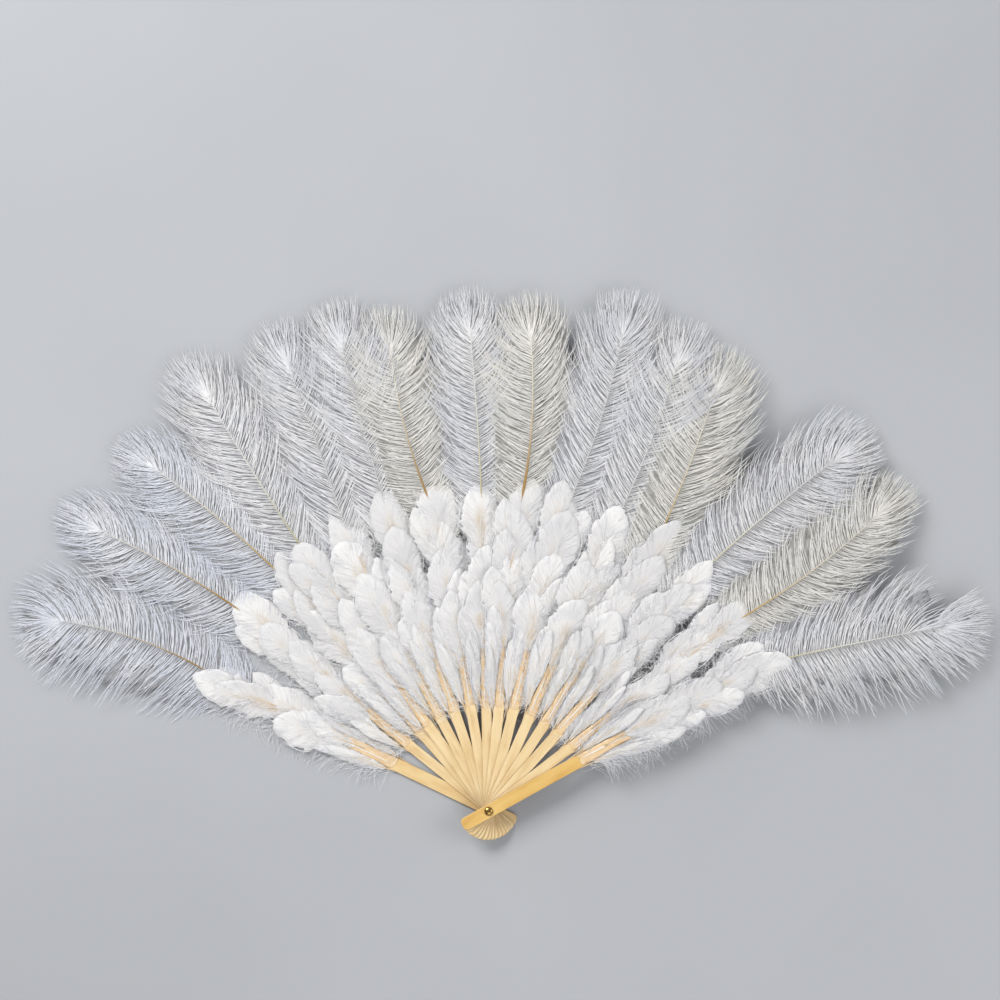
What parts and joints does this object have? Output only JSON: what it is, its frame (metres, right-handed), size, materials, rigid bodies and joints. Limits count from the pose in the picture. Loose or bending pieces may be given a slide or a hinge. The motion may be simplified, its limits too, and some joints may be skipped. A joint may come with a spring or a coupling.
{
  "type": "folding feather fan",
  "caption": "Folding hand fan with white feathers glued along bamboo sticks and a long curled plume on each stick end, opening and closing about a brass rivet.",
  "frame": {"origin": "centre of the flat back of the rivet, which is the pivot of every blade", "axes": "+Z along the rivet towards the viewer's side, +Y up the middle of the open fan, +X towards the front guard"},
  "size_m": [0.7861, 0.4439, 0.0259],
  "materials": {
    "stick_bamboo": "scraped pale bamboo, satin",
    "guard_bamboo": "yellow bamboo skin, satin",
    "body_feather": "smooth white feather vane",
    "plume": "loose white downy barbs",
    "brass": "polished"
  },
  "bodies": {
    "blade_01": {"rear_guard": "guard_bamboo", "body_feathers_01": "body_feather", "plume_01": "plume", "rivet_post": "brass", "rivet_cap": "brass"},
    "blade_02": {"stick_02": "stick_bamboo", "body_feathers_02": "body_feather", "plume_02": "plume"},
    "blade_03": {"stick_03": "stick_bamboo", "body_feathers_03": "body_feather", "plume_03": "plume"},
    "blade_04": {"stick_04": "stick_bamboo", "body_feathers_04": "body_feather", "plume_04": "plume"},
    "blade_05": {"stick_05": "stick_bamboo", "body_feathers_05": "body_feather", "plume_05": "plume"},
    "blade_06": {"stick_06": "stick_bamboo", "body_feathers_06": "body_feather", "plume_06": "plume"},
    "blade_07": {"stick_07": "stick_bamboo", "body_feathers_07": "body_feather", "plume_07": "plume"},
    "blade_08": {"stick_08": "stick_bamboo", "body_feathers_08": "body_feather", "plume_08": "plume"},
    "blade_09": {"stick_09": "stick_bamboo", "body_feathers_09": "body_feather", "plume_09": "plume"},
    "blade_10": {"stick_10": "stick_bamboo", "body_feathers_10": "body_feather", "plume_10": "plume"},
    "blade_11": {"stick_11": "stick_bamboo", "body_feathers_11": "body_feather", "plume_11": "plume"},
    "blade_12": {"stick_12": "stick_bamboo", "body_feathers_12": "body_feather", "plume_12": "plume"},
    "blade_13": {"stick_13": "stick_bamboo", "body_feathers_13": "body_feather", "plume_13": "plume"},
    "blade_14": {"stick_14": "stick_bamboo", "body_feathers_14": "body_feather", "plume_14": "plume"},
    "blade_15": {"front_guard": "guard_bamboo", "body_feathers_15": "body_feather", "plume_15": "plume"}
  },
  "joints": [
    {"name": "blade_02_fold", "type": "hinge", "parent": "blade_01", "child": "blade_02", "pos_m": [0, 0, 0], "axis": [0, 0, 1], "range_deg": [0, 13.2]},
    {"name": "blade_03_fold", "type": "hinge", "parent": "blade_01", "child": "blade_03", "pos_m": [0, 0, 0], "axis": [0, 0, 1], "range_deg": [0, 23]},
    {"name": "blade_04_fold", "type": "hinge", "parent": "blade_01", "child": "blade_04", "pos_m": [0, 0, 0], "axis": [0, 0, 1], "range_deg": [0, 28.7]},
    {"name": "blade_05_fold", "type": "hinge", "parent": "blade_01", "child": "blade_05", "pos_m": [0, 0, 0], "axis": [0, 0, 1], "range_deg": [0, 36.7]},
    {"name": "blade_06_fold", "type": "hinge", "parent": "blade_01", "child": "blade_06", "pos_m": [0, 0, 0], "axis": [0, 0, 1], "range_deg": [0, 45.3]},
    {"name": "blade_07_fold", "type": "hinge", "parent": "blade_01", "child": "blade_07", "pos_m": [0, 0, 0], "axis": [0, 0, 1], "range_deg": [0, 54.4]},
    {"name": "blade_08_fold", "type": "hinge", "parent": "blade_01", "child": "blade_08", "pos_m": [0, 0, 0], "axis": [0, 0, 1], "range_deg": [0, 63.1]},
    {"name": "blade_09_fold", "type": "hinge", "parent": "blade_01", "child": "blade_09", "pos_m": [0, 0, 0], "axis": [0, 0, 1], "range_deg": [0, 70.1]},
    {"name": "blade_10_fold", "type": "hinge", "parent": "blade_01", "child": "blade_10", "pos_m": [0, 0, 0], "axis": [0, 0, 1], "range_deg": [0, 78.3]},
    {"name": "blade_11_fold", "type": "hinge", "parent": "blade_01", "child": "blade_11", "pos_m": [0, 0, 0], "axis": [0, 0, 1], "range_deg": [0, 88]},
    {"name": "blade_12_fold", "type": "hinge", "parent": "blade_01", "child": "blade_12", "pos_m": [0, 0, 0], "axis": [0, 0, 1], "range_deg": [0, 97.1]},
    {"name": "blade_13_fold", "type": "hinge", "parent": "blade_01", "child": "blade_13", "pos_m": [0, 0, 0], "axis": [0, 0, 1], "range_deg": [0, 105.9]},
    {"name": "blade_14_fold", "type": "hinge", "parent": "blade_01", "child": "blade_14", "pos_m": [0, 0, 0], "axis": [0, 0, 1], "range_deg": [0, 116.5]},
    {"name": "fan_fold", "type": "hinge", "parent": "blade_01", "child": "blade_15", "pos_m": [0, 0, 0], "axis": [0, 0, 1], "range_deg": [0, 125.4]}
  ],
  "couplings": [
    {"joint": "blade_02_fold", "follows": "fan_fold", "ratio": 0.10526},
    {"joint": "blade_03_fold", "follows": "fan_fold", "ratio": 0.18341},
    {"joint": "blade_04_fold", "follows": "fan_fold", "ratio": 0.22886},
    {"joint": "blade_05_fold", "follows": "fan_fold", "ratio": 0.29266},
    {"joint": "blade_06_fold", "follows": "fan_fold", "ratio": 0.36124},
    {"joint": "blade_07_fold", "follows": "fan_fold", "ratio": 0.43381},
    {"joint": "blade_08_fold", "follows": "fan_fold", "ratio": 0.50318},
    {"joint": "blade_09_fold", "follows": "fan_fold", "ratio": 0.55901},
    {"joint": "blade_10_fold", "follows": "fan_fold", "ratio": 0.6244},
    {"joint": "blade_11_fold", "follows": "fan_fold", "ratio": 0.70175},
    {"joint": "blade_12_fold", "follows": "fan_fold", "ratio": 0.77432},
    {"joint": "blade_13_fold", "follows": "fan_fold", "ratio": 0.84449},
    {"joint": "blade_14_fold", "follows": "fan_fold", "ratio": 0.92902}
  ]
}
